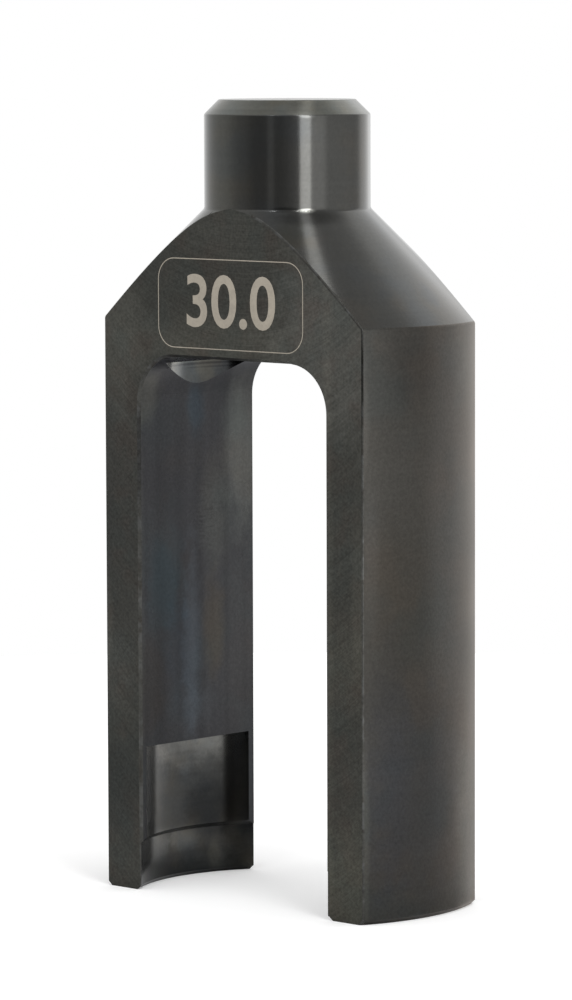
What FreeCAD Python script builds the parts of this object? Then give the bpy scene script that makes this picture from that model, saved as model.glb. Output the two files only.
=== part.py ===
import FreeCAD, Part
import math
import os

# Crown race remover: one piece of round steel bar, turned, milled flat on two sides, slotted and bored.
# Frame: millimetres, Z up along the bar's axis, X across the slot, Y through the slot.
# The origin is on the bar's axis, in the plane of the leg tips that the tool stands on.

# Outside, turned
bar_diameter = 50.0
overall_height = 103.0
boss_diameter = 21.35
boss_height = 13.9
boss_top_chamfer = 1.9
boss_base_radius = 0.6
shoulder_angle = 45.0
shoulder_corner_radius = 0.5
tip_outer_chamfer = 0.55

# Two flats, milled front and back
flat_width = 21.4

# Slot between the legs, milled from front to back
slot_width = 32.9
slot_height = 70.0
slot_corner_radius = 6.2
slot_edge_chamfer = 0.3

# Inside of the legs, bored from the tips
bore_diameter = 32.2
bore_depth = 69.0
seat_diameter = 38.2
seat_depth = 18.8
seat_corner_radius = 0.6
tip_bore_diameter = 39.4
tip_bore_depth = 6.2
tip_inner_chamfer = 0.55

# Centre mark left by the tailstock in the boss's end face
centre_mark_diameter = 0.9
centre_mark_tip_diameter = 0.2
centre_mark_angle = 60.0

# How far a cutter runs past the face that it starts from
cutter_overrun = 5.0

# Heights and radii that follow from the sizes above
bar_radius = bar_diameter / 2
boss_radius = boss_diameter / 2
half_flat = flat_width / 2
half_slot = slot_width / 2
shoulder_top = overall_height - boss_height
shoulder_slope = math.tan(math.radians(shoulder_angle))
shoulder_bottom = shoulder_top - (bar_radius - boss_radius) / shoulder_slope


def rounded_corner(before, corner, after, radius):
    """Return the start, middle and end of the arc that rounds a corner of a profile."""
    to_before = (before - corner).normalize()
    to_after = (after - corner).normalize()
    half_angle = to_before.getAngle(to_after) / 2
    setback = radius / math.tan(half_angle)
    towards_centre = (to_before + to_after).normalize()
    centre = corner + towards_centre * (radius / math.sin(half_angle))
    start = corner + to_before * setback
    end = corner + to_after * setback
    middle = centre - towards_centre * radius
    return start, middle, end


def profile_face(corners):
    """Make a flat face from (point, corner radius) pairs; a radius of 0 keeps the corner sharp."""
    count = len(corners)
    stretches = []
    for index, (corner, radius) in enumerate(corners):
        before = corners[index - 1][0]
        after = corners[(index + 1) % count][0]
        if radius > 0:
            stretches.append(rounded_corner(before, corner, after, radius))
        else:
            stretches.append((corner, None, corner))
    edges = []
    for index, (start, middle, end) in enumerate(stretches):
        if middle is not None:
            edges.append(Part.Arc(start, middle, end).toShape())
        next_start = stretches[(index + 1) % count][0]
        edges.append(Part.LineSegment(end, next_start).toShape())
    return Part.Face(Part.Wire(edges))


def turned(corners):
    """Revolve an (r, z, corner radius) profile a full turn about the bar's axis."""
    points = [(FreeCAD.Vector(0, r, z), radius) for r, z, radius in corners]
    face = profile_face(points)
    return face.revolve(FreeCAD.Vector(0, 0, 0), FreeCAD.Vector(0, 0, 1), 360)


def turned_blank():
    """The outside before milling: boss, conical shoulder and full round barrel."""
    return turned([
        (0, 0, 0),
        (bar_radius - tip_outer_chamfer, 0, 0),
        (bar_radius, tip_outer_chamfer, 0),
        (bar_radius, shoulder_bottom, shoulder_corner_radius),
        (boss_radius, shoulder_top, boss_base_radius),
        (boss_radius, overall_height - boss_top_chamfer, 0),
        (boss_radius - boss_top_chamfer, overall_height, 0),
        (0, overall_height, 0),
    ])


def flat_cutters():
    """Two blocks that leave the front and back flats, up to the boss."""
    width = bar_diameter + 2 * cutter_overrun
    depth = bar_radius + cutter_overrun - half_flat
    height = shoulder_top + boss_base_radius + cutter_overrun
    cutters = []
    for near_face in (-half_flat - depth, half_flat):
        corner = FreeCAD.Vector(-width / 2, near_face, -cutter_overrun)
        cutters.append(Part.makeBox(width, depth, height, corner))
    return cutters


def slot_outline(y, growth):
    """The slot's cross-section in the plane at y, grown on every side but the open one."""
    side = half_slot + growth
    top = slot_height + growth
    radius = slot_corner_radius + growth
    return profile_face([
        (FreeCAD.Vector(-side, y, -cutter_overrun), 0),
        (FreeCAD.Vector(side, y, -cutter_overrun), 0),
        (FreeCAD.Vector(side, y, top), radius),
        (FreeCAD.Vector(-side, y, top), radius),
    ])


def slot_cutter():
    """The milled slot with its rounded top corners, right through from front to back."""
    run = bar_diameter + 2 * cutter_overrun
    return slot_outline(-run / 2, 0).extrude(FreeCAD.Vector(0, run, 0))


def slot_chamfer_cutters():
    """The chamfer round the slot's mouth on the front flat and on the back flat."""
    cutters = []
    for side in (-1, 1):
        inner = slot_outline(side * (half_flat - slot_edge_chamfer), 0)
        outer = slot_outline(side * half_flat, slot_edge_chamfer)
        cutters.append(Part.makeLoft([inner.OuterWire, outer.OuterWire], True, True))
    return cutters


def bored_inside():
    """The stepped bore in the legs: wide at the tips, a seat above it, a clearance bore above that."""
    bore_radius = bore_diameter / 2
    seat_radius = seat_diameter / 2
    tip_radius = tip_bore_diameter / 2
    step = tip_radius - seat_radius
    return turned([
        (0, -cutter_overrun, 0),
        (tip_radius + tip_inner_chamfer, -cutter_overrun, 0),
        (tip_radius + tip_inner_chamfer, 0, 0),
        (tip_radius, tip_inner_chamfer, 0),
        (tip_radius, tip_bore_depth, 0),
        (seat_radius, tip_bore_depth + step, 0),
        (seat_radius, seat_depth, seat_corner_radius),
        (bore_radius, seat_depth, 0),
        (bore_radius, bore_depth, 0),
        (0, bore_depth, 0),
    ])


def centre_mark():
    """The small conical centre mark in the boss's end face."""
    mouth_radius = centre_mark_diameter / 2
    tip_radius = centre_mark_tip_diameter / 2
    depth = (mouth_radius - tip_radius) / math.tan(math.radians(centre_mark_angle / 2))
    tip = FreeCAD.Vector(0, 0, overall_height - depth)
    return Part.makeCone(tip_radius, mouth_radius, depth, tip)


def remover_body():
    """The finished tool as one solid."""
    cutters = flat_cutters()
    cutters.append(slot_cutter())
    cutters.extend(slot_chamfer_cutters())
    cutters.append(bored_inside())
    cutters.append(centre_mark())
    body = turned_blank().cut(cutters)
    return body.removeSplitter().Solids[0]


os.makedirs("parts", exist_ok=True)
remover_body().exportStep("parts/remover_body.step")
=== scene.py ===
import logging
import math
from collections.abc import Callable
from dataclasses import dataclass
from enum import Enum, IntEnum

import bpy
from mathutils import Matrix, Vector


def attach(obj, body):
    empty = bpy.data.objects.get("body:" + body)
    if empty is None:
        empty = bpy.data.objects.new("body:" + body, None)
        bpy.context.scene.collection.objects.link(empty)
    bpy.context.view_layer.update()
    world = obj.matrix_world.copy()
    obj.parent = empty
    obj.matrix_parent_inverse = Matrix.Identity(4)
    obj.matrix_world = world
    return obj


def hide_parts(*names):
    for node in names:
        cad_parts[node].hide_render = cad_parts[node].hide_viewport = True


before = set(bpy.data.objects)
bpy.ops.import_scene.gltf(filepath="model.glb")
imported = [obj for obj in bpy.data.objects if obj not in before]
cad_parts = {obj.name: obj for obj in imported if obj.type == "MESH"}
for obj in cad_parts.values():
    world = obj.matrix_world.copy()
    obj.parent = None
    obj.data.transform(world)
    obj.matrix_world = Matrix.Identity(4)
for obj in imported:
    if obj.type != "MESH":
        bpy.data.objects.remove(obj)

# Crown race remover: looks for the one-piece blackened steel tool.
# Frame: metres, Z up along the bar's axis, X across the slot, Y through the slot, origin at the leg tips.

log = logging.getLogger("crown_race_remover")

MM = 0.001
BODY_NODE = "remover_body"
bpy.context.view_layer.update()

# Kinds of socket on a shader node group, and what every group of cutter's marks gives
NUMBER = "NodeSocketFloat"
VECTOR = "NodeSocketVector"
COLOUR = "NodeSocketColor"
MARK_OUTPUTS = {"Height": NUMBER, "Line": NUMBER}

# The face mill's radius and its place beside the axis, and where and how far the slot mill chattered
FACE_MILL = (31.5 * MM, 2 * MM)
CHATTER = ((0.0, 1.9 * MM, 48 * MM), (1.0, 2.6 * MM, 7 * MM))

# How close together two points of a mesh count as one
SAME_POINT = 0.001 * MM

# How much of a face's normal is along Z where the face counts as level
LEVEL = 0.9

Colour = tuple[float, float, float]
Piece = bpy.types.Object
Socket = bpy.types.NodeSocket
Outputs = bpy.types.NodeOutputs
EdgeTest = Callable[[Vector, Vector], bool]


class Cutter(Enum):
    """What left each kind of surface, which decides the marks on it."""

    LATHE = "lathe"
    FACE_MILL = "face_mill"
    SLOT_MILL = "slot_mill"
    FILE = "file"


class Skin(IntEnum):
    """The turned blank's finishes, by their place among the body's materials."""

    BARREL = 0
    BOSS = 1
    EDGE = 2
    END = 3


def deselect_all() -> None:
    """Leave edit mode and select nothing."""
    if bpy.context.object and bpy.context.object.mode != "OBJECT":
        bpy.ops.object.mode_set(mode="OBJECT")
    bpy.ops.object.select_all(action="DESELECT")


def make_active(piece: Piece) -> None:
    """Select one piece alone and make it the active one.

    Args:
        piece: The object to work on.
    """
    deselect_all()
    piece.select_set(True)
    bpy.context.view_layer.objects.active = piece


def settle() -> Piece:
    """Put the new object's place, turn and scale into its mesh, so that its origin is the frame's.

    Returns:
        The object.
    """
    piece = bpy.context.object
    make_active(piece)
    bpy.ops.object.transform_apply(location=True, rotation=True, scale=True)
    return piece


def clear_choice(piece: Piece, kind: str) -> None:
    """Unselect the whole mesh of a piece, ready to choose one kind of element in object mode.

    Args:
        piece: The mesh object.
        kind: Which kind of element is chosen next, FACE or EDGE.
    """
    make_active(piece)
    bpy.ops.object.mode_set(mode="EDIT")
    bpy.ops.mesh.select_mode(type=kind)
    bpy.ops.mesh.select_all(action="DESELECT")
    bpy.ops.object.mode_set(mode="OBJECT")


def edit_faces(piece: Piece, chosen: Callable[[bpy.types.MeshPolygon], bool]) -> None:
    """Enter edit mode with only the chosen faces selected.

    Args:
        piece: The mesh object to edit.
        chosen: Says of each face whether it is wanted, by its place or normal.
    """
    clear_choice(piece, "FACE")
    for face in piece.data.polygons:
        face.select = chosen(face)
    bpy.ops.object.mode_set(mode="EDIT")


def edit_edges(piece: Piece, chosen: EdgeTest) -> int:
    """Enter edit mode with only the chosen edges selected.

    Args:
        piece: The mesh object to edit.
        chosen: Says of each edge, by its two ends, whether it is wanted.

    Returns:
        How many edges are selected.
    """
    clear_choice(piece, "EDGE")
    points = piece.data.vertices
    count = 0
    for edge in piece.data.edges:
        start, end = edge.vertices
        edge.select = chosen(points[start].co, points[end].co)
        count += edge.select
    bpy.ops.object.mode_set(mode="EDIT")
    return count


def extrude_end(*steps: tuple[float, float]) -> None:
    """Extrude the selected end face along the bar's axis and resize it, step by step.

    Args:
        steps: The face's height and radius as it is, and then after each step.
    """
    for (old_height, old_radius), (height, radius) in zip(steps, steps[1:]):
        bpy.ops.mesh.extrude_region_move(TRANSFORM_OT_translate={"value": (0.0, 0.0, height - old_height)})
        grow = radius / old_radius
        bpy.ops.transform.resize(value=(grow, grow, 1.0), center_override=(0.0, 0.0, height))


def cut_away(piece: Piece, cutter: Piece, finish: bpy.types.Material) -> None:
    """Cut one closed mesh out of another, which leaves the cutter's finish on the cut faces.

    Args:
        piece: The mesh that is cut.
        cutter: The mesh that is taken out of it, deleted afterwards.
        finish: The material of the new faces.
    """
    cutter.data.materials.append(finish)
    make_active(piece)
    modifier = piece.modifiers.new("cut", "BOOLEAN")
    modifier.operation = "DIFFERENCE"
    modifier.solver = "EXACT"
    modifier.material_mode = "TRANSFER"
    modifier.object = cutter
    bpy.ops.object.modifier_apply(modifier=modifier.name)
    bpy.data.objects.remove(cutter)


def merge_doubles(piece: Piece) -> None:
    """Merge the points of a piece that lie in one place, and drop what then has no length or area.

    Args:
        piece: The mesh object to clean.
    """
    edit_faces(piece, lambda face: True)
    bpy.ops.mesh.remove_doubles(threshold=SAME_POINT)
    bpy.ops.mesh.dissolve_degenerate(threshold=SAME_POINT)
    bpy.ops.object.mode_set(mode="OBJECT")


class Sheet:
    """A node tree being drawn up, with short calls that add nodes and join them.

    Where a call takes an object, that is a plain value or another node's output socket.
    """

    def __init__(self, tree: bpy.types.NodeTree) -> None:
        """Start on a node tree."""
        self.tree = tree

    def add(
        self, kind: str, inputs: dict[str | int, object] | None = None, **settings: object
    ) -> bpy.types.Node:
        """Add a node.

        Args:
            kind: The node's type.
            inputs: What feeds each input, by the input's name or number.
            settings: The node's own properties.

        Returns:
            The new node.
        """
        node = self.tree.nodes.new(kind)
        for name, value in settings.items():
            setattr(node, name, value)
        for name, value in (inputs or {}).items():
            self.feed(node.inputs[name], value)
        return node

    def feed(self, socket: Socket, value: object) -> None:
        """Give an input a value, or join it to an output.

        Args:
            socket: The input.
            value: A number, vector or colour, or an output socket.
        """
        if isinstance(value, Socket):
            self.tree.links.new(value, socket)
        elif isinstance(value, tuple) and len(value) == 3 and socket.type == "RGBA":
            socket.default_value = (*value, 1.0)
        else:
            socket.default_value = value

    def place(self) -> Socket:
        """Give the object coordinates."""
        return self.add("ShaderNodeTexCoord").outputs["Object"]

    def math(self, operation: str, first: object, second: object = 0.0) -> Socket:
        """Work out a number from one or two others."""
        return self.add("ShaderNodeMath", {0: first, 1: second}, operation=operation).outputs[0]

    def product(self, first: object, second: object) -> Socket:
        """Multiply two numbers."""
        return self.math("MULTIPLY", first, second)

    def fade(self, value: object, start: float, end: float, low: float = 0.0, high: float = 1.0) -> Socket:
        """Map a number smoothly from start and end onto low and high, held at both ends."""
        inputs = {"Value": value, "From Min": start, "From Max": end, "To Min": low, "To Max": high}
        return self.add("ShaderNodeMapRange", inputs, interpolation_type="SMOOTHSTEP").outputs["Result"]

    def vector(self, operation: str, first: object, second: object = (0.0, 0.0, 0.0)) -> Socket:
        """Work out a vector from one or two others."""
        return self.add("ShaderNodeVectorMath", {0: first, 1: second}, operation=operation).outputs[0]

    def length(self, vector: object) -> Socket:
        """Give the length of a vector."""
        return self.add("ShaderNodeVectorMath", {0: vector}, operation="LENGTH").outputs["Value"]

    def split(self, vector: object) -> tuple[Socket, ...]:
        """Take a vector apart into its X, Y and Z."""
        return tuple(self.add("ShaderNodeSeparateXYZ", {0: vector}).outputs)

    def join(self, x: object, y: object, z: object) -> Socket:
        """Make a vector of three numbers."""
        return self.add("ShaderNodeCombineXYZ", {0: x, 1: y, 2: z}).outputs[0]

    def apart(self, place: object, centre: object, reach: object) -> Socket:
        """Give how far a place is from a centre, where 1 is as far as the reach."""
        return self.length(self.vector("DIVIDE", self.vector("SUBTRACT", place, centre), reach))

    def noise(self, place: object, scale: object, detail: float = 2.0, rough: float = 0.5) -> Socket:
        """Give a noise texture's value, with its layers of detail and the strength of the finer ones."""
        inputs = {"Vector": place, "Scale": scale, "Detail": detail, "Roughness": rough}
        return self.add("ShaderNodeTexNoise", inputs).outputs[0]

    def blend(self, share: object, under: object, over: object, how: str = "MIX") -> Socket:
        """Lay a share of one colour over another."""
        inputs = {0: share, 6: under, 7: over}
        return self.add("ShaderNodeMix", inputs, data_type="RGBA", blend_type=how).outputs[2]

    def shade(self, colour: object, bright: Socket) -> Socket:
        """Multiply a colour by a brightness."""
        return self.blend(1.0, colour, self.join(bright, bright, bright), "MULTIPLY")


def new_material(name: str) -> tuple[bpy.types.Material, Sheet, bpy.types.Node]:
    """Start a material.

    Args:
        name: The material's name.

    Returns:
        The material, the sheet of its nodes and its Principled shader.
    """
    material = bpy.data.materials.new(name)
    material.use_nodes = True
    return material, Sheet(material.node_tree), material.node_tree.nodes["Principled BSDF"]


class SurfaceGroup:
    """A surface effect that several finishes share, kept as one shader node group."""

    name = "effect"
    inputs: dict[str, str] = {}
    outputs: dict[str, str] = {}

    def tree(self) -> bpy.types.NodeTree:
        """Draw the group up at its first use.

        Returns:
            The group's tree.
        """
        known = bpy.data.node_groups.get(self.name)
        if known:
            return known
        tree = bpy.data.node_groups.new(self.name, "ShaderNodeTree")
        for side, sockets in (("INPUT", self.inputs), ("OUTPUT", self.outputs)):
            for name, kind in sockets.items():
                tree.interface.new_socket(name=name, in_out=side, socket_type=kind)
        sheet = Sheet(tree)
        made = self.draw(sheet, sheet.add("NodeGroupInput").outputs)
        sheet.add("NodeGroupOutput", made)
        return tree

    def draw(self, sheet: Sheet, given: Outputs) -> dict[str, Socket]:
        """Draw up the group's inside.

        Args:
            sheet: The group's tree.
            given: The group's inputs.

        Returns:
            The socket that feeds each output, by its name.
        """
        raise NotImplementedError

    def use(self, sheet: Sheet, *values: object) -> Outputs:
        """Place the group in a material, with what feeds each of its inputs in their order."""
        inputs = dict(zip(self.inputs, values))
        return sheet.add("ShaderNodeGroup", inputs, node_tree=self.tree()).outputs


class OxidePatches(SurfaceGroup):
    """The clouded colour of a blackened surface: warm and cool patches and a fine grain."""

    name = "oxide_patches"
    inputs = {
        "Place": VECTOR,
        "Patches per Metre": NUMBER,
        "Tone": COLOUR,
        "Warm": COLOUR,
        "Cool": COLOUR,
        "Grain": NUMBER,
    }
    outputs = {"Colour": COLOUR, "Cloud": NUMBER}
    elsewhere = (0.31, 0.17, 0.23)
    warm_edge = (0.46, 0.68)
    cool_edge = (0.46, 0.66)
    clouds = 45.0
    cloud_edge = (0.3, 0.7)
    cloud_swing = 0.08
    grains = 2600.0

    def draw(self, sheet: Sheet, given: Outputs) -> dict[str, Socket]:
        """Draw up the patches.

        Args:
            sheet: The group's tree.
            given: The group's inputs.

        Returns:
            The sockets of the colour and of the broad clouds.
        """
        place, patches = given["Place"], given["Patches per Metre"]
        far = sheet.vector("ADD", place, self.elsewhere)
        warm = sheet.fade(sheet.noise(place, patches, detail=3.0, rough=0.55), *self.warm_edge)
        cool = sheet.fade(sheet.noise(far, patches, detail=3.0), *self.cool_edge)
        colour = sheet.blend(cool, sheet.blend(warm, given["Tone"], given["Warm"]), given["Cool"])
        cloud = sheet.noise(far, self.clouds)
        cloudy = sheet.fade(cloud, *self.cloud_edge, 1.0 - self.cloud_swing, 1.0 + self.cloud_swing)
        grain = sheet.math("SUBTRACT", sheet.noise(place, self.grains, rough=0.6), 0.5)
        grainy = sheet.math("ADD", sheet.product(grain, given["Grain"]), 1.0)
        return {"Colour": sheet.shade(colour, sheet.product(grainy, cloudy)), "Cloud": cloud}


class PaintedLightSpot(SurfaceGroup):
    """One place where the colour is made lighter or darker, with a ragged edge: painted highlight and
    reflection where it lightens, painted shade where it darkens.
    """

    name = "painted_light_spot"
    inputs = {
        "Colour": COLOUR,
        "Place": VECTOR,
        "Centre": VECTOR,
        "Reach": VECTOR,
        "Tint": COLOUR,
        "Ragged": NUMBER,
    }
    outputs = {"Colour": COLOUR}
    tatters = 380.0
    edge = (0.25, 1.1)

    def draw(self, sheet: Sheet, given: Outputs) -> dict[str, Socket]:
        """Draw up the spot.

        Args:
            sheet: The group's tree.
            given: The group's inputs.

        Returns:
            The socket of the colour with the spot's painted light and shade.
        """
        place, colour = given["Place"], given["Colour"]
        far = sheet.apart(place, given["Centre"], given["Reach"])
        swing = sheet.math("SUBTRACT", sheet.noise(place, self.tatters, detail=3.0, rough=0.6), 0.5)
        ragged = sheet.math("ADD", far, sheet.product(swing, given["Ragged"]))
        near = sheet.fade(ragged, *self.edge, 1.0, 0.0)
        return {"Colour": sheet.blend(near, colour, sheet.blend(1.0, colour, given["Tint"], "MULTIPLY"))}


class LatheRings(SurfaceGroup):
    """Fine rings about the bar's axis, on walls, cones and end faces alike."""

    name = "lathe_rings"
    inputs = {"Place": VECTOR, "Rings per Metre": NUMBER}
    outputs = MARK_OUTPUTS
    lean = 0.7
    drift = 70.0
    broad = 0.35

    def draw(self, sheet: Sheet, given: Outputs) -> dict[str, Socket]:
        """Draw up the rings.

        Args:
            sheet: The group's tree.
            given: The group's inputs.

        Returns:
            The sockets of the rings' height and of their light and dark.
        """
        x, y, z = sheet.split(given["Place"])
        radius = sheet.length(sheet.join(x, y, 0.0))
        across = sheet.math("SUBTRACT", z, sheet.product(radius, self.lean))
        ring = sheet.product(across, given["Rings per Metre"])
        fine = sheet.join(sheet.product(x, self.drift), sheet.product(y, self.drift), ring)
        height = sheet.noise(fine, 1.0, rough=0.6)
        return {"Height": height, "Line": sheet.noise(fine, self.broad, detail=1.0)}


class MillArcs(SurfaceGroup):
    """The crossing arcs that a wide face mill leaves as it travels along the bar."""

    name = "mill_arcs"
    inputs = {"Place": VECTOR, "Arcs per Metre": NUMBER, "Mill Radius": NUMBER, "Mill Offset": NUMBER}
    outputs = MARK_OUTPUTS
    drift = 90.0
    broad = 0.3
    leading_share = 0.5
    line_shares = (0.5, 0.25)

    def draw(self, sheet: Sheet, given: Outputs) -> dict[str, Socket]:
        """Draw up the arcs.

        Args:
            sheet: The group's tree.
            given: The group's inputs.

        Returns:
            The sockets of the arcs' height and of their light and dark.
        """
        x, y, z = sheet.split(given["Place"])
        radius = given["Mill Radius"]
        aside = sheet.math("SUBTRACT", x, given["Mill Offset"])
        square = sheet.math("SUBTRACT", sheet.product(radius, radius), sheet.product(aside, aside))
        rise = sheet.math("SQRT", sheet.math("MAXIMUM", square, 0.0))
        along = sheet.product(x, self.drift)
        marks = []
        for way in ("SUBTRACT", "ADD"):
            step = sheet.product(sheet.math(way, z, rise), given["Arcs per Metre"])
            marks.append(sheet.join(along, y, step))
        leading, trailing = (sheet.noise(mark, 1.0, detail=3.0, rough=0.6) for mark in marks)
        height = sheet.math("ADD", trailing, sheet.product(leading, self.leading_share))
        layers = (height, sheet.noise(marks[1], self.broad, detail=1.0))
        line = sheet.math("ADD", *map(sheet.product, layers, self.line_shares))
        return {"Height": height, "Line": line}


class FeedLines(SurfaceGroup):
    """Straight lines that nicks in a slot mill draw along its feed, with short ticks across them."""

    name = "feed_lines"
    inputs = {"Place": VECTOR, "Lines per Metre": NUMBER, "Chatter": VECTOR, "Chatter Reach": VECTOR}
    outputs = MARK_OUTPUTS
    drift = 28.0
    broad = 0.16
    fine_share = 0.6
    ticks = (600.0, 3700.0)
    tick_edge = (0.4, 1.0)
    tick_middle = 0.42
    tick_share = 1.2

    def draw(self, sheet: Sheet, given: Outputs) -> dict[str, Socket]:
        """Draw up the lines.

        Args:
            sheet: The group's tree.
            given: The group's inputs.

        Returns:
            The sockets of the lines' height and of their light and dark.
        """
        x, y, z = sheet.split(given["Place"])
        nicks = sheet.join(x, sheet.product(y, given["Lines per Metre"]), sheet.product(z, self.drift))
        far = sheet.apart(sheet.join(0.0, y, z), given["Chatter"], given["Chatter Reach"])
        where = sheet.fade(far, *self.tick_edge, 1.0, 0.0)
        across = sheet.join(x, *map(sheet.product, (y, z), self.ticks))
        tick = sheet.noise(across, 1.0, detail=0.0)
        fine = sheet.product(sheet.noise(nicks, 1.0), self.fine_share)
        height = sheet.math("ADD", fine, sheet.product(tick, where))
        swing = sheet.product(sheet.math("SUBTRACT", tick, self.tick_middle), where)
        broad = sheet.noise(nicks, self.broad, detail=1.0)
        return {"Height": height, "Line": sheet.math("ADD", broad, sheet.product(swing, self.tick_share))}


@dataclass(frozen=True)
class Spot:
    """A place on a finish where light and shade are painted into the colour, in millimetres, and what it
    multiplies the colour by.
    """

    centre: tuple[float, float, float]
    reach: tuple[float, float, float]
    tint: Colour | float
    ragged: float = 0.9

    def cover(self, sheet: Sheet, place: Socket, colour: Socket) -> Socket:
        """Lay the spot's painted light and shade over a colour.

        Args:
            sheet: The material's tree.
            place: The object coordinates.
            colour: The colour underneath.

        Returns:
            The socket of the colour with the painted light and shade.
        """
        centre, reach = (tuple(v * MM for v in sizes) for sizes in (self.centre, self.reach))
        tint = self.tint if isinstance(self.tint, tuple) else (self.tint,) * 3
        return PaintedLightSpot().use(sheet, colour, place, centre, reach, tint, self.ragged)["Colour"]


@dataclass(frozen=True)
class SteelFinish:
    """Blackened steel as one cutter leaves it, with its clouded oxide, its marks and its painted light and
    shade.
    """

    name: str
    tone: Colour
    warm: Colour
    cool: Colour
    patches: float
    grain: float
    roughness: float
    depth: float
    streaks: float
    cutter: Cutter = Cutter.LATHE
    marks: float = 5200.0
    painted_spots: tuple[Spot, ...] = ()
    edge_tint: Colour = (1.0, 1.0, 1.0)
    line_edge: tuple[float, float] = (0.3, 0.7)
    cloud_edge: tuple[float, float] = (0.35, 0.65)
    rough_shares: tuple[float, float] = (0.9, 1.12)

    def material(self) -> bpy.types.Material:
        """Make the finish's material.

        Returns:
            The material, with one Principled shader.
        """
        material, sheet, shader = new_material(self.name)
        place = sheet.place()
        oxide = OxidePatches().use(sheet, place, self.patches, self.tone, self.warm, self.cool, self.grain)
        colour = oxide["Colour"]
        # Lay each spot of painted light and shade over the oxide's colour.
        for spot in self.painted_spots:
            colour = spot.cover(sheet, place, colour)
        marks = self.cut_marks(sheet, place)
        bright = sheet.fade(marks["Line"], *self.line_edge, 1.0 - self.streaks, 1.0 + self.streaks)
        sheet.feed(shader.inputs["Base Color"], sheet.shade(colour, bright))
        rough = (self.roughness * share for share in self.rough_shares)
        sheet.feed(shader.inputs["Roughness"], sheet.fade(oxide["Cloud"], *self.cloud_edge, *rough))
        shader.inputs["Metallic"].default_value = 1.0
        shader.inputs["Specular Tint"].default_value = (*self.edge_tint, 1.0)
        relief = {"Height": marks["Height"], "Distance": self.depth, "Strength": 1.0}
        sheet.feed(shader.inputs["Normal"], sheet.add("ShaderNodeBump", relief).outputs["Normal"])
        return material

    def cut_marks(self, sheet: Sheet, place: Socket) -> Outputs:
        """Place the group of this finish's cutter, where a file's strokes are drawn like a lathe's rings.

        Args:
            sheet: The material's tree.
            place: The object coordinates.

        Returns:
            The group's outputs, Height and Line.
        """
        if self.cutter is Cutter.FACE_MILL:
            return MillArcs().use(sheet, place, self.marks, *FACE_MILL)
        if self.cutter is Cutter.SLOT_MILL:
            return FeedLines().use(sheet, place, self.marks, *CHATTER)
        return LatheRings().use(sheet, place, self.marks)


@dataclass(frozen=True)
class EtchFinish:
    """The pale matt ground that etching leaves on blackened steel."""

    name: str = "etched_steel"
    colour: Colour = (0.27, 0.24, 0.195)
    warm_share: float = 0.92
    cool_share: float = 1.05
    patches: float = 900.0
    grain: float = 0.2
    roughness: float = 0.55

    def material(self) -> bpy.types.Material:
        """Make the finish's material.

        Returns:
            The material, with one Principled shader.
        """
        material, sheet, shader = new_material(self.name)
        warm, cool = (tuple(share * c for c in self.colour) for share in (self.warm_share, self.cool_share))
        oxide = OxidePatches().use(sheet, sheet.place(), self.patches, self.colour, warm, cool, self.grain)
        sheet.feed(shader.inputs["Base Color"], oxide["Colour"])
        shader.inputs["Roughness"].default_value = self.roughness
        return material


BOSS_FINISH = SteelFinish(
    name="boss_steel",
    tone=(0.059, 0.059, 0.056),
    warm=(0.064, 0.061, 0.055),
    cool=(0.056, 0.058, 0.058),
    patches=110.0, grain=0.35, roughness=0.13, depth=0.0025 * MM, streaks=0.02,
    # Spots of painted light and shade on the boss and cone: a faint warmer lightening on the boss's front,
    # painted shade on the cone's front and in a ring at the boss's foot, a darker fillet, a painted glint
    # on the fillet and a painted highlight at the top of the boss's wall.
    painted_spots=(
        Spot((-3, -10.3, 96), (7, 7, 16), (1.02, 1.02, 0.97)),
        Spot((9.3, -9.9, 86), (3, 3, 5), (0.87, 0.86, 0.8)),
        Spot((9.8, -6.4, 88.3), (5, 6.5, 1.3), 0.57, 0.3),
        Spot((7.2, -8.3, 89.25), (2.2, 2.2, 0.45), 0.5, 0.2),
        Spot((9, -6.1, 89.1), (1.35, 1.35, 0.36), (5, 5, 4.9), 0.2),
        Spot((8.85, -6.05, 101.02), (1.4, 1.4, 0.36), 1.85, 0.2),
    ),
)
END_FINISH = SteelFinish(
    name="faced_end_steel",
    tone=(0.105, 0.106, 0.095),
    warm=(0.110, 0.106, 0.089),
    cool=(0.097, 0.103, 0.097),
    patches=160.0, grain=0.35, roughness=0.22, depth=0.0015 * MM, streaks=0.06,
    # A spot of painted shade on the boss's chamfer beside the lamp's streak.
    painted_spots=(Spot((8.05, -5.3, 102.2), (2.3, 2.3, 1.6), 0.68, 0.2),),
)
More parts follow.
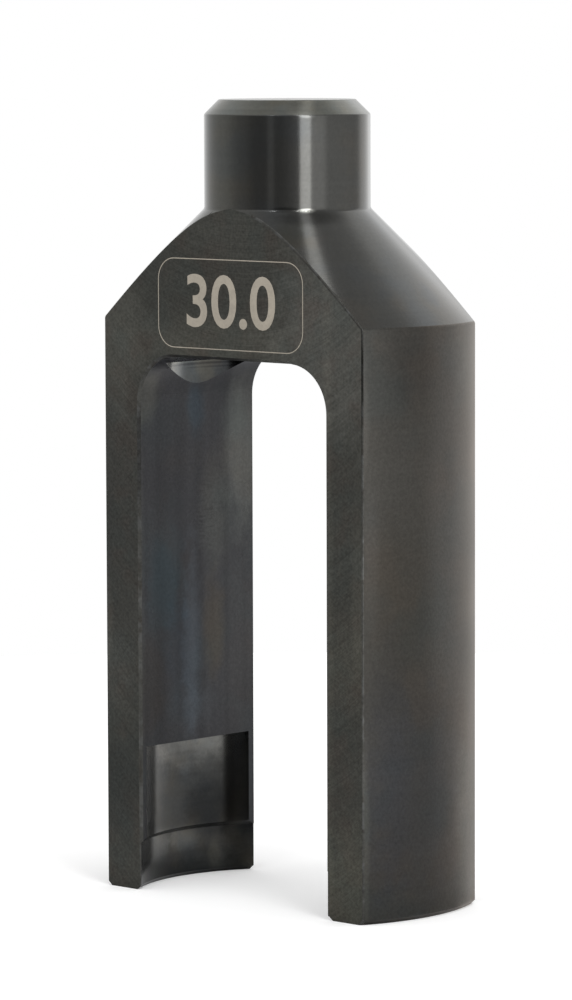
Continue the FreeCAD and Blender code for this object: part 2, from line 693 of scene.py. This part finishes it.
BARREL_FINISH = SteelFinish(
    name="barrel_steel",
    tone=(0.046, 0.044, 0.040),
    warm=(0.0498, 0.0452, 0.0398),
    cool=(0.0418, 0.0424, 0.0397),
    patches=95.0, grain=0.6, roughness=0.34, marks=4200.0, depth=0.001 * MM, streaks=0.02,
    # Spots of painted light and shade on the barrel: painted reflections that lighten it in bands and at
    # the tips' chamfer, and painted shade where it is darkened.
    painted_spots=(
        Spot((22.7, -10.6, 65), (2, 0.8, 11), 1.2),
        Spot((22.8, -10.6, 11), (2, 0.9, 16), (1.42, 1.43, 1.38), 0.4),
        Spot((23.8, -7.5, 19), (4, 4.5, 22), (0.97, 0.99, 1.05)),
        Spot((23.2, -9.6, 46), (2, 1.4, 12), (1.12, 1.13, 1.15)),
        Spot((24.8, 3, 50), (4, 5.2, 60), (1.35, 1.34, 1.36), 0.4),
        Spot((24, -6, 40), (5, 8, 15), (0.92, 0.9, 0.87)),
        Spot((24.7, -3.5, 70), (3, 5, 7), (0.84, 0.84, 0.85)),
        Spot((24.6, -3.5, 15), (6, 10, 18), (0.96, 0.98, 1.05)),
        Spot((23.5, 8.6, 10), (6, 5, 16), (1.35, 1.33, 1.3), 0.3),
        Spot((22.8, 10.5, 13), (5, 8.6, 22), (1.95, 1.93, 1.95), 0.2),
        Spot((22.8, 9.5, 72), (5, 7, 10), 1.2),
        Spot((22.8, 9.5, 0), (4, 4.5, 7), (1.3, 1.3, 1.32), 0.2),
        Spot((24.3, 0, 0), (4, 16, 0.9), 1.45, 0.1),
        Spot((23.5, 9.5, 0), (4, 9, 0.9), (2.2, 2.2, 2.25), 0.1),
    ),
    edge_tint=(1.0, 0.955, 0.92),
)
FLAT_FINISH = SteelFinish(
    name="milled_flat_steel",
    cutter=Cutter.FACE_MILL,
    tone=(0.0455, 0.0455, 0.0405),
    warm=(0.048, 0.0445, 0.0392),
    cool=(0.0437, 0.0454, 0.0411),
    patches=190.0, grain=0.95, roughness=0.32, depth=0.003 * MM, streaks=0.18,
    # Spots of painted light and shade on the flats: painted reflections that lighten them, and painted
    # shade lower on the left leg.
    painted_spots=(
        Spot((18, -10.7, 74), (14, 4, 17), (1.7, 1.7, 1.72)),
        Spot((-20.5, -10.7, 73), (6, 4, 13), (1.4, 1.4, 1.38)),
        Spot((0, -10.7, 86), (11, 4, 5), 1.12),
        Spot((-2, -10.7, 72), (17, 3, 5), (1.42, 1.4, 1.36), 0.5),
        Spot((16.6, -10.7, 35), (1.3, 3, 60), (1.25, 1.23, 1.2)),
        Spot((-22.3, -10.7, 35), (1.2, 3, 8), (1.3, 1.28, 1.25)),
        Spot((21.8, -10.7, 42), (1.6, 3, 16), (1.25, 1.23, 1.2)),
        Spot((20, -10.7, 33), (5, 4, 8), (1.26, 1.24, 1.2)),
        Spot((20, -10.7, 4), (6, 4, 11), (1.5, 1.47, 1.38)),
        Spot((-20, -10.7, 45), (9, 4, 26), (0.93, 0.93, 0.95)),
        Spot((-21, -10.7, 28.5), (4, 4, 8), 1.2),
        Spot((-20, -10.7, 13), (6, 4, 10), (0.79, 0.81, 0.84)),
    ),
)
SLOT_FINISH = SteelFinish(
    name="milled_slot_steel",
    cutter=Cutter.SLOT_MILL,
    tone=(0.036, 0.036, 0.038),
    warm=(0.0376, 0.0366, 0.0375),
    cool=(0.0358, 0.0373, 0.0393),
    patches=120.0, grain=0.6, roughness=0.26, marks=2400.0, depth=0.0015 * MM, streaks=0.10,
    # Spots of painted light and shade on the slot's walls and ceiling: painted reflections, among them the
    # light zone high on the back of the wall, some of them tinted bluer, and painted shade where they
    # darken.
    painted_spots=(
        Spot((-16.4, 8.6, 57), (4, 4.4, 14.5), (2.05, 2.08, 1.88), 0.5),
        Spot((-16.4, 3.4, 48.5), (4, 3.4, 9.5), (1.3, 1.32, 1.22), 0.4),
        Spot((-16.4, -10.6, 32), (4, 1.2, 36), (1.3, 1.3, 1.25)),
        Spot((-16.4, -6, 56), (4, 5, 10), 0.9),
        Spot((-16.4, 5.5, 33), (4, 8.5, 21), (1.28, 1.28, 1.27), 0.4),
        Spot((-16.4, 8.6, 30), (4, 5, 16), (1.15, 1.13, 1.1), 0.4),
        Spot((-16.4, 3.2, 33.5), (4, 2.5, 8), (1.3, 1.18, 1.0)),
        Spot((-16.4, -1.1, 31), (4, 2.3, 16), (1.28, 1.42, 1.53)),
        Spot((-16.4, -1, 22.5), (4, 6, 5), (1.22, 1.25, 1.27)),
        Spot((-16.4, -6, 40), (4, 4.6, 9), (0.95, 1.14, 1.2)),
        Spot((-16.4, -3.9, 31), (4, 3, 9), (0.98, 1.06, 1.12)),
        Spot((-16.4, -8.6, 27), (4, 3, 8), (1.0, 0.96, 0.9)),
        Spot((-16, -0.2, 62.5), (4, 2.2, 4.5), (1.0, 1.2, 1.32)),
        Spot((-16, -9.5, 65), (4, 3, 5), (1.4, 1.4, 1.25)),
        Spot((-14.5, -8.5, 68), (4, 4, 3.5), (1.35, 1.33, 1.3), 0.4),
        Spot((-11.5, -9, 70), (3.5, 6, 1.2), (0.85, 0.85, 0.87)),
    ),
    edge_tint=(0.86, 0.86, 0.88),
)
BORE_FINISH = SteelFinish(
    name="bored_steel",
    tone=(0.050, 0.050, 0.048),
    warm=(0.056, 0.053, 0.047),
    cool=(0.043, 0.045, 0.046),
    patches=150.0, grain=0.4, roughness=0.15, marks=3600.0, depth=0.001 * MM, streaks=0.05,
    # Spots of painted light and shade in the bore: painted reflections that lighten the tip bore and the
    # seat, painted shade towards the tips, and thin lighter and darker bands just under the bore's top.
    painted_spots=(
        Spot((-18, -6.7, 16), (4, 3.6, 8), (1.86, 1.76, 1.64)),
        Spot((-17.8, -6.1, 18), (4, 2.6, 3), (1.25, 1.25, 1.27)),
        Spot((-18.6, 4.5, 18), (4, 3.2, 2.5), (1.25, 1.25, 1.24)),
        Spot((-19, 2.2, 19.8), (4, 9.5, 6.6), (2.4, 2.4, 2.38)),
        Spot((-18, 7.3, 14), (3, 1.1, 10), 0.5),
        Spot((-18.5, 3.8, 9), (4, 5, 5.5), (0.5, 0.52, 0.55)),
        Spot((-17.2, 8.4, 15), (4, 2.4, 11), 2.3),
        Spot((-18.9, -5.6, 5), (4, 4.6, 2.6), 2.1),
        Spot((-19.7, 0.6, 5), (4, 3.5, 2.3), (1.8, 1.8, 1.77)),
        Spot((-19, 5.6, 2.2), (4, 1.3, 3.2), (1.5, 1.45, 1.33)),
        Spot((-18, 9.2, 3), (4, 3.2, 5), (0.56, 0.56, 0.54)),
        Spot((-19, 1, 0), (4, 13, 4.5), (0.62, 0.64, 0.65)),
        Spot((-15.8, -3, 67.5), (4, 7, 4), (1.5, 1.57, 1.58)),
        Spot((-15.3, -5, 67.7), (3, 2.6, 3), (1.35, 1.28, 1.22)),
        Spot((-15, 1, 68.85), (8, 12, 0.24), (1.5, 1.5, 1.45)),
        Spot((-15, 1, 68.4), (8, 12, 0.2), (0.6, 0.6, 0.62)),
        Spot((-15, 4, 67.9), (8, 9, 0.16), (0.7, 0.7, 0.72)),
    ),
)
EDGE_FINISH = SteelFinish(
    name="deburred_edge_steel",
    cutter=Cutter.FILE,
    tone=(0.056, 0.056, 0.052),
    warm=(0.044, 0.042, 0.038),
    cool=(0.070, 0.071, 0.069),
    patches=700.0, grain=0.9, roughness=0.34, marks=900.0, depth=0.004 * MM, streaks=0.10,
    # Spots of painted light and shade on the broken edges: painted glints that lighten some and painted
    # shade that darkens others.
    painted_spots=(
        Spot((23.3, -10.7, 70), (2.0, 3, 8), 0.3),
        Spot((22.6, -10.6, 30), (2, 3, 34), 1.45),
        Spot((-16.6, -10.6, 28), (3, 3, 26), 1.08),
        Spot((-16.6, -10.6, 57), (3, 3, 8), (0.62, 0.62, 0.64)),
        Spot((-6, -10.7, 70.5), (13, 3, 3.4), (0.62, 0.62, 0.64)),
        Spot((8.5, -10.7, 70.2), (7, 3, 3), (2.3, 2.3, 2.25), 0.5),
    ),
)


@dataclass
class SteelBody:
    """The whole tool: turned blank, milled flats, slot, stepped bore and broken edges."""

    bar_radius: float = 24.985 * MM
    height: float = 103.0 * MM
    boss_radius: float = 10.675 * MM
    boss_height: float = 13.9 * MM
    boss_chamfer: float = 1.9 * MM
    boss_fillet: float = 0.6 * MM
    boss_edge: float = 0.25 * MM
    shoulder_fillet: float = 0.5 * MM
    tip_chamfer: float = 0.55 * MM
    half_flat: float = 10.69 * MM
    half_slot: float = 16.45 * MM
    slot_height: float = 70.0 * MM
    slot_corner: float = 6.2 * MM
    slot_chamfer: float = 0.35 * MM
    worn_chamfer: float = 0.03 * MM
    bore_radius: float = 16.1 * MM
    bore_depth: float = 69.0 * MM
    seat_radius: float = 19.1 * MM
    seat_depth: float = 18.8 * MM
    tip_bore_radius: float = 19.7 * MM
    tip_bore_depth: float = 6.2 * MM
    mark_radius: float = 0.45 * MM
    mark_tip: float = 0.1 * MM
    mark_angle: float = 60.0
    edge_break: float = 0.2 * MM
    light_break: float = 0.08 * MM
    overrun: float = 5.0 * MM
    near: float = 0.01 * MM
    corner_turn: float = 45.0
    around: int = 288
    mark_around: int = 32
    fillet_segments: int = 6
    slot_segments: int = 28
    smooth_below: float = 12.0

    def __post_init__(self) -> None:
        """Work out the heights that follow from the sizes."""
        self.shoulder_top = self.height - self.boss_height
        self.shoulder_bottom = self.shoulder_top - (self.bar_radius - self.boss_radius)
        self.piece: Piece | None = None

    def build(self) -> Piece:
        """Make the body and let it stand for its CAD node.

        Returns:
            The finished piece.
        """
        self.turn_blank()
        self.mill_flats()
        self.mill_slot()
        self.bore_legs()
        self.mark_centre()
        self.break_edges()
        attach(self.piece, "root")
        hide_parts(BODY_NODE)
        return self.piece

    def turn_blank(self) -> None:
        """Turn the outside: barrel, conical shoulder and boss."""
        deselect_all()
        foot = self.tip_chamfer
        bpy.ops.mesh.primitive_cylinder_add(
            vertices=self.around,
            radius=self.bar_radius,
            depth=self.shoulder_bottom - foot,
            location=(0.0, 0.0, (self.shoulder_bottom + foot) / 2),
        )
        self.piece = settle()
        self.piece.name = "machined_body"
        for finish in (BARREL_FINISH, BOSS_FINISH, EDGE_FINISH, END_FINISH):
            self.piece.data.materials.append(finish.material())
        edit_faces(self.piece, lambda face: face.normal.z > LEVEL)
        chamfer_start = self.height - self.boss_chamfer
        chamfer_end = self.boss_radius - self.boss_chamfer
        extrude_end(
            (self.shoulder_bottom, self.bar_radius),
            (self.shoulder_top, self.boss_radius),
            (chamfer_start, self.boss_radius),
            (self.height, chamfer_end),
        )
        edit_faces(self.piece, lambda face: face.normal.z < -LEVEL)
        extrude_end((foot, self.bar_radius), (0.0, self.bar_radius - self.tip_chamfer))
        self.round_ring(self.shoulder_bottom, self.bar_radius, self.shoulder_fillet)
        self.round_ring(self.shoulder_top, self.boss_radius, self.boss_fillet)
        self.round_ring(chamfer_start, self.boss_radius, self.boss_edge)
        self.round_ring(self.height, chamfer_end, self.boss_edge)
        self.finish_above(self.shoulder_bottom + self.shoulder_fillet, Skin.BOSS)
        self.finish_above(chamfer_start + self.boss_edge / 2, Skin.END)

    def round_ring(self, height: float, radius: float, fillet: float) -> None:
        """Round one of the turned corners, all of which turn by the same angle.

        Args:
            height: Height of the corner.
            radius: Radius of the corner about the bar's axis.
            fillet: Radius of the rounding.
        """

        def on_ring(point: Vector) -> bool:
            """Say whether a point is on the corner."""
            return abs(point.z - height) < self.near and abs(point.xy.length - radius) < self.near

        edit_edges(self.piece, lambda start, end: on_ring(start) and on_ring(end))
        setback = fillet * math.tan(math.radians(self.corner_turn / 2))
        bpy.ops.mesh.bevel(offset=setback, segments=self.fillet_segments, affect="EDGES")
        bpy.ops.object.mode_set(mode="OBJECT")

    def finish_above(self, height: float, skin: Skin) -> None:
        """Give every face above a height one of the blank's finishes.

        Args:
            height: The height.
            skin: The finish.
        """
        edit_faces(self.piece, lambda face: face.center.z > height)
        self.piece.active_material_index = skin
        bpy.ops.object.material_slot_assign()
        bpy.ops.object.mode_set(mode="OBJECT")

    def mill_flats(self) -> None:
        """Mill the front and back of the barrel and shoulder flat."""
        finish = FLAT_FINISH.material()
        width = 2 * (self.bar_radius + self.overrun)
        depth = self.bar_radius + self.overrun - self.half_flat
        for side in (-1.0, 1.0):
            deselect_all()
            bpy.ops.mesh.primitive_cube_add(
                size=1.0,
                location=(0.0, side * (self.half_flat + depth / 2), self.shoulder_top / 2),
                scale=(width, depth, self.shoulder_top + 2 * self.overrun),
            )
            cut_away(self.piece, settle(), finish)

    def mill_slot(self) -> None:
        """Cut the slot with its round top corners and chamfer its mouths."""
        deselect_all()
        bottom = -self.overrun
        bpy.ops.mesh.primitive_cube_add(
            size=1.0,
            location=(0.0, 0.0, (self.slot_height + bottom) / 2),
            scale=(2 * self.half_slot, 4 * self.half_flat, self.slot_height - bottom),
        )
        cutter = settle()
        edit_edges(cutter, lambda a, b: min(a.z, b.z) > 0 and abs(a.x - b.x) < self.near)
        bpy.ops.mesh.bevel(offset=self.slot_corner, segments=self.slot_segments, affect="EDGES")
        bpy.ops.object.mode_set(mode="OBJECT")
        cut_away(self.piece, cutter, SLOT_FINISH.material())
        self.bevel_edges(self.slot_mouth, self.hand_filed, (self.slot_chamfer, self.worn_chamfer), 1)

    def in_flat(self, start: Vector, end: Vector) -> bool:
        """Say whether an edge lies in the front flat's plane or in the back one's."""
        return abs(start.y - end.y) < self.near and abs(abs(start.y) - self.half_flat) < self.near

    def by_slot(self, start: Vector, end: Vector, growth: float) -> bool:
        """Say whether an edge lies within the slot's outline, grown all round."""
        side, top = self.half_slot + growth, self.slot_height + growth
        return all(abs(point.x) < side and point.z < top for point in (start, end))

    def slot_mouth(self, start: Vector, end: Vector) -> bool:
        """Say whether an edge is on the slot's outline in the front or back flat, above the tips."""
        on_slot = self.in_flat(start, end) and self.by_slot(start, end, self.near)
        return on_slot and max(start.z, end.z) > self.near

    def hand_filed(self, start: Vector, end: Vector) -> bool:
        """Say whether an edge is on the half of the front mouth that was filed harder than the rest."""
        left_of_corner = max(start.x, end.x) < self.half_slot - self.slot_corner + self.near
        return max(start.y, end.y) < 0 and left_of_corner

    def bevel_edges(
        self, outline: EdgeTest, harder: EdgeTest, widths: tuple[float, float], segments: int
    ) -> None:
        """Bevel the edges of an outline in two widths and give the new faces the deburred finish.

        Args:
            outline: Says of each edge, by its two ends, whether it is on the outline.
            harder: Says whether it gets the first width.
            widths: How far the two bevels reach from the edge.
            segments: How many facets they have.
        """
        for first, width in zip((True, False), widths):
            count = edit_edges(self.piece, lambda a, b: outline(a, b) and harder(a, b) == first)
            bpy.ops.mesh.bevel(offset=width, segments=segments, affect="EDGES", material=Skin.EDGE)
            bpy.ops.object.mode_set(mode="OBJECT")
            log.info("bevelled %d edges", count)

    def bore_legs(self) -> None:
        """Cut the stepped bore: wide at the tips, a seat above, and clearance up to the slot's top."""
        bottom = -self.overrun
        mouth = self.tip_bore_radius + self.tip_chamfer
        step = self.tip_bore_radius - self.seat_radius
        deselect_all()
        bpy.ops.mesh.primitive_cylinder_add(
            vertices=self.around, radius=mouth, depth=-bottom, location=(0.0, 0.0, bottom / 2)
        )
        cutter = settle()
        edit_faces(cutter, lambda face: face.normal.z > LEVEL)
        extrude_end(
            (0.0, mouth),
            (self.tip_chamfer, self.tip_bore_radius),
            (self.tip_bore_depth, self.tip_bore_radius),
            (self.tip_bore_depth + step, self.seat_radius),
            (self.seat_depth, self.seat_radius),
            (self.seat_depth, self.bore_radius),
            (self.bore_depth, self.bore_radius),
        )
        bpy.ops.object.mode_set(mode="OBJECT")
        cut_away(self.piece, cutter, BORE_FINISH.material())

    def mark_centre(self) -> None:
        """Drill the small centre mark in the boss's end face."""
        deselect_all()
        depth = self.mark_radius / math.tan(math.radians(self.mark_angle / 2))
        bpy.ops.mesh.primitive_cone_add(
            vertices=self.mark_around,
            radius1=self.mark_tip,
            radius2=2 * self.mark_radius,
            depth=2 * depth,
            location=(0.0, 0.0, self.height),
        )
        cut_away(self.piece, settle(), self.piece.data.materials[Skin.BOSS])

    def front_right(self, start: Vector, end: Vector) -> bool:
        """Say whether an edge is on the front's right side."""
        return max(start.y, end.y) < 0 < min(start.x, end.x)

    def flat_outline(self, start: Vector, end: Vector) -> bool:
        """Say whether an edge is on a flat's outer outline, between the tips and the boss's fillet."""
        outer = self.in_flat(start, end) and not self.by_slot(start, end, 2 * self.slot_chamfer)
        return outer and self.near < max(start.z, end.z) < self.shoulder_top - self.boss_fillet

    def break_edges(self) -> None:
        """Break the sharp outer edges a little and shade the round walls smooth."""
        self.bevel_edges(self.flat_outline, self.front_right, (self.edge_break, self.light_break), 2)
        merge_doubles(self.piece)
        make_active(self.piece)
        bpy.ops.object.shade_smooth_by_angle(angle=math.radians(self.smooth_below))


@dataclass
class EtchedMark:
    """The plain etched frame and size number on the front flat."""

    centre_x: float = -0.13 * MM
    centre_z: float = 77.05 * MM
    width: float = 25.4 * MM
    height: float = 11.55 * MM
    corner: float = 2.8 * MM
    corner_segments: int = 8
    line: float = 0.12 * MM
    face: float = 10.7 * MM
    sunk: float = 0.1 * MM
    number: str = "30.0"
    number_size: float = 9.4 * MM
    number_bold: float = 0.12 * MM
    number_segments: int = 6

    def build(self) -> list[Piece]:
        """Make the frame and the number.

        Returns:
            The finished pieces.
        """
        finish = EtchFinish().material()
        pieces = [self.make_frame(), self.make_number()]
        for piece in pieces:
            piece.data.materials.clear()
            piece.data.materials.append(finish)
            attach(piece, "root")
        return pieces

    def make_frame(self) -> Piece:
        """Make the thin frame with rounded corners.

        Returns:
            The frame.
        """
        deselect_all()
        bpy.ops.mesh.primitive_plane_add(
            size=1.0,
            location=(self.centre_x, -self.face, self.centre_z),
            rotation=(math.radians(90.0), 0.0, 0.0),
        )
        bpy.context.object.scale = (self.width, self.height, 1.0)
        piece = settle()
        piece.name = "etched_frame"
        edit_faces(piece, lambda face: True)
        bpy.ops.mesh.bevel(offset=self.corner, segments=self.corner_segments, affect="VERTICES")
        bpy.ops.mesh.select_all(action="SELECT")
        bpy.ops.mesh.inset(thickness=self.line)
        bpy.ops.mesh.delete(type="FACE")
        bpy.ops.mesh.select_all(action="SELECT")
        bpy.ops.mesh.extrude_region_move(TRANSFORM_OT_translate={"value": (0.0, self.sunk, 0.0)})
        bpy.ops.mesh.select_all(action="SELECT")
        bpy.ops.mesh.normals_make_consistent(inside=False)
        bpy.ops.object.mode_set(mode="OBJECT")
        return piece

    def make_number(self) -> Piece:
        """Make the size number as a thin mesh.

        Returns:
            The number.
        """
        deselect_all()
        bpy.ops.object.text_add(
            location=(self.centre_x, -self.face + self.sunk / 2, self.centre_z),
            rotation=(math.radians(90.0), 0.0, 0.0),
        )
        text = bpy.context.object.data
        text.body = self.number
        text.size = self.number_size
        text.resolution_u = self.number_segments
        text.align_x = text.align_y = "CENTER"
        text.extrude = self.sunk / 2
        text.offset = self.number_bold
        bpy.ops.object.convert(target="MESH")
        piece = settle()
        piece.name = "etched_number"
        merge_doubles(piece)
        return piece


@dataclass(frozen=True)
class Stretch:
    """A lighter or darker stretch of the tent, by its bearing and its half widths in degrees."""

    aside: float
    outer: float
    inner: float
    change: float
    top: float = 0.6


@dataclass(frozen=True)
class Lamp:
    """A rectangular lamp: its direction in degrees, width and height, and how bright its face looks."""

    name: str
    aside: float
    up: float
    size: tuple[float, float]
    radiance: float


@dataclass
class Studio:
    """The camera, the floor and the light."""

    azimuth: float = 43.006
    elevation: float = 5.457
    tilt: float = 5.467
    roll: float = -0.186
    distance: float = 643.27 * MM
    target_height: float = 51.49 * MM
    focal_over_frame: float = 4.9871
    sensor: float = 36.0
    shift_x: float = -0.00245
    shift_y: float = 0.0005
    nearest: float = 10 * MM
    farthest: float = 20.0
    floor_radius: float = 0.25
    floor_around: int = 96
    paper: Colour = (0.86, 0.86, 0.86)
    paper_roughness: float = 0.95
    paper_glow: float = 0.2
    tent: float = 1.08
    tent_top: float = 0.8
    top_edge: tuple[float, float] = (0.75, 0.97)
    stretch_fade: float = 0.3
    lamp_distance: float = 1.0
    lamp_target: float = 80 * MM
    stretches: tuple[Stretch, ...] = (
        Stretch(-28.0, 72.0, 30.0, -0.52),
        Stretch(-27.0, 36.0, 12.0, -0.20),
        Stretch(-23.0, 6.0, 2.0, 0.25),
        Stretch(42.0, 17.0, 4.0, 0.8),
        Stretch(76.0, 30.0, 10.0, 0.16),
        Stretch(139.0, 27.0, 12.0, 0.75, 0.95),
    )
    lamps: tuple[Lamp, ...] = (
        Lamp("standing_strip", 24.8, 12.0, (0.263, 1.0), 4.4),
        Lamp("overhead_strip", 76.0, 76.5, (0.5, 0.10), 2.8),
        Lamp("right_spot", 26.5, 50.0, (0.28, 0.05), 24.0),
        Lamp("left_spot", -25.0, 50.0, (0.11, 0.05), 24.0),
    )

    def build(self) -> None:
        """Set up the whole studio."""
        self.place_camera()
        self.lay_floor()
        self.light_dome()
        for lamp in self.lamps:
            self.hang_lamp(lamp)
        bpy.context.scene.view_settings.view_transform = "Standard"

    def towards(self, aside: float, up: float) -> Vector:
        """Give a direction by its bearing to the camera's right and its height, both in degrees."""
        turn, lift = math.radians(self.azimuth + aside), math.radians(up)
        return Vector((math.sin(turn) * math.cos(lift), -math.cos(turn) * math.cos(lift), math.sin(lift)))

    def place_camera(self) -> None:
        """Stand the camera where the photograph was taken from."""
        turn, roll = math.radians(self.azimuth), math.radians(self.roll)
        back = self.towards(0.0, self.tilt)
        level = Vector((math.cos(turn), math.sin(turn), 0.0))
        upward = back.cross(level).normalized()
        right = level * math.cos(roll) + upward * math.sin(roll)
        up = upward * math.cos(roll) - level * math.sin(roll)
        lens = bpy.data.cameras.new("camera")
        lens.sensor_width = self.sensor
        lens.lens = self.focal_over_frame * self.sensor
        lens.shift_x, lens.shift_y = self.shift_x, self.shift_y
        lens.clip_start, lens.clip_end = self.nearest, self.farthest
        camera = bpy.data.objects.new("camera", lens)
        bpy.context.scene.collection.objects.link(camera)
        place = Vector((0.0, 0.0, self.target_height)) + self.towards(0.0, self.elevation) * self.distance
        camera.matrix_world = Matrix.Translation(place) @ Matrix((right, up, back)).transposed().to_4x4()
        bpy.context.scene.camera = camera

    def lay_floor(self) -> None:
        """Lay a round of white paper that keeps the tool's soft shadow."""
        deselect_all()
        bpy.ops.mesh.primitive_circle_add(
            vertices=self.floor_around, radius=self.floor_radius, fill_type="NGON"
        )
        floor = bpy.context.object
        floor.name = "floor"
        material, sheet, paper = new_material("white_paper")
        sheet.feed(paper.inputs["Base Color"], self.paper)
        paper.inputs["Roughness"].default_value = self.paper_roughness
        paper.inputs["Specular IOR Level"].default_value = 0.0
        seen = sheet.add("ShaderNodeLightPath").outputs["Is Camera Ray"]
        glow = sheet.add("ShaderNodeEmission", {"Strength": sheet.product(seen, self.paper_glow)})
        both = sheet.add("ShaderNodeAddShader", {0: paper.outputs[0], 1: glow.outputs[0]})
        sheet.feed(material.node_tree.nodes["Material Output"].inputs["Surface"], both.outputs[0])
        floor.data.materials.append(material)

    def light_dome(self) -> None:
        """Surround the tool with a white tent that is open and darker on the camera's left."""
        world = bpy.data.worlds.new("studio")
        bpy.context.scene.world = world
        world.use_nodes = True
        sheet = Sheet(world.node_tree)
        x, y, z = sheet.split(sheet.add("ShaderNodeTexCoord").outputs["Generated"])
        level = sheet.vector("NORMALIZE", sheet.join(x, y, 0.0))
        bright = sheet.fade(z, *self.top_edge, self.tent, self.tent_top)
        for stretch in self.stretches:
            below = sheet.fade(z, stretch.top - self.stretch_fade, stretch.top, 1.0, 0.0)
            lobe = sheet.product(self.lobe(sheet, level, stretch), below)
            bright = sheet.math("ADD", bright, sheet.product(lobe, stretch.change))
        glossy = sheet.add("ShaderNodeLightPath").outputs["Is Glossy Ray"]
        strength = sheet.add("ShaderNodeMix", {0: glossy, 2: 1.0, 3: bright}, data_type="FLOAT").outputs[0]
        sky = world.node_tree.nodes["Background"]
        sky.inputs["Color"].default_value = (1.0, 1.0, 1.0, 1.0)
        sheet.feed(sky.inputs["Strength"], strength)

    def lobe(self, sheet: Sheet, level: Socket, stretch: Stretch) -> Socket:
        """Pick out a stretch of the tent by its bearing.

        Args:
            sheet: The world's tree.
            level: The bearing that is looked at, as a level unit vector.
            stretch: The stretch of the tent.

        Returns:
            A socket that is 1 inside the stretch and 0 outside it.
        """
        middle = tuple(self.towards(stretch.aside, 0.0))
        match = sheet.add("ShaderNodeVectorMath", {0: level, 1: middle}, operation="DOT_PRODUCT")
        edges = (math.cos(math.radians(width)) for width in (stretch.outer, stretch.inner))
        return sheet.fade(match.outputs["Value"], *edges)

    def hang_lamp(self, lamp: Lamp) -> None:
        """Hang one lamp that faces the tool.

        Args:
            lamp: What is hung, and where.
        """
        light = bpy.data.lights.new(lamp.name, "AREA")
        light.shape = "RECTANGLE"
        light.size, light.size_y = lamp.size
        light.energy = lamp.radiance * math.pi * lamp.size[0] * lamp.size[1]
        holder = bpy.data.objects.new(lamp.name, light)
        bpy.context.scene.collection.objects.link(holder)
        way = self.towards(lamp.aside, lamp.up)
        holder.location = Vector((0.0, 0.0, self.lamp_target)) + way * self.lamp_distance
        holder.rotation_mode = "QUATERNION"
        holder.rotation_quaternion = way.to_track_quat("Z", "Y")


def main() -> None:
    """Build the studio and the tool, and report each piece."""
    logging.basicConfig(level=logging.INFO, format="%(name)s: %(message)s")
    Studio().build()
    pieces = [SteelBody().build(), *EtchedMark().build()]
    for piece in pieces:
        log.info("%s: %d faces", piece.name, len(piece.data.polygons))


if __name__ == "__main__":
    main()
